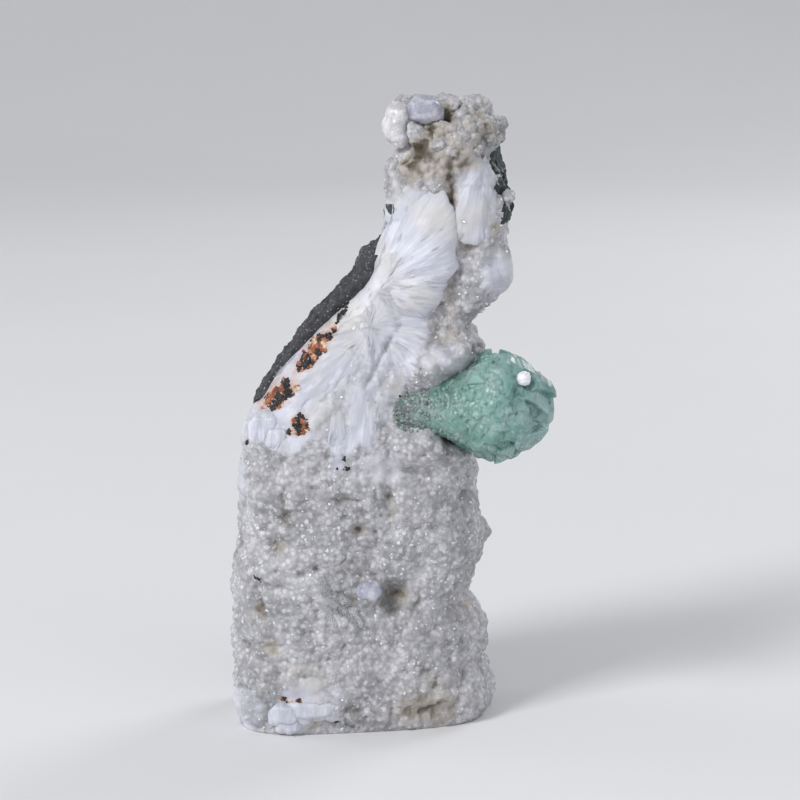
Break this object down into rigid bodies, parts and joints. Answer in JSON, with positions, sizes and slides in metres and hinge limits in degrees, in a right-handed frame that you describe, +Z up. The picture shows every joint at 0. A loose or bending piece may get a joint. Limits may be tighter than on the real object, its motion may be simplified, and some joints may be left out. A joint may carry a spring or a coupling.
{
  "type": "apophyllite specimen",
  "caption": "Tall natural mineral specimen: white druzy quartz and silky stilbite over dark basalt, with a barrel of green apophyllite crystals.",
  "frame": {"origin": "on the surface that the specimen stands on, under the middle of its bounding box", "axes": "+Z up along the tall rock, -Y out of the front with the silky fan, +X towards the green cluster"},
  "size_m": [0.0818, 0.054, 0.1581],
  "materials": {
    "druzy_quartz": "satin",
    "basalt": "matte",
    "green_apophyllite": "gloss",
    "silky_stilbite": "satin",
    "clear_blades": "gloss",
    "lavender_quartz": "gloss",
    "pale_quartz": "satin"
  },
  "bodies": {
    "root": {"quartz_druse_matrix": "druzy_quartz", "basalt_host_rock": "basalt", "green_apophyllite_cluster": "green_apophyllite", "stilbite_fan_main": "silky_stilbite", "stilbite_fan_right": "silky_stilbite", "stilbite_sheaf_middle": "silky_stilbite", "stilbite_curtain_left": "silky_stilbite", "stilbite_blades_left": "silky_stilbite", "stilbite_blades_foot": "silky_stilbite", "clear_blades_front": "clear_blades", "lavender_quartz_top": "lavender_quartz", "pale_lobe_top": "pale_quartz", "white_ball_on_cluster": "pale_quartz"}
  },
  "joints": []
}
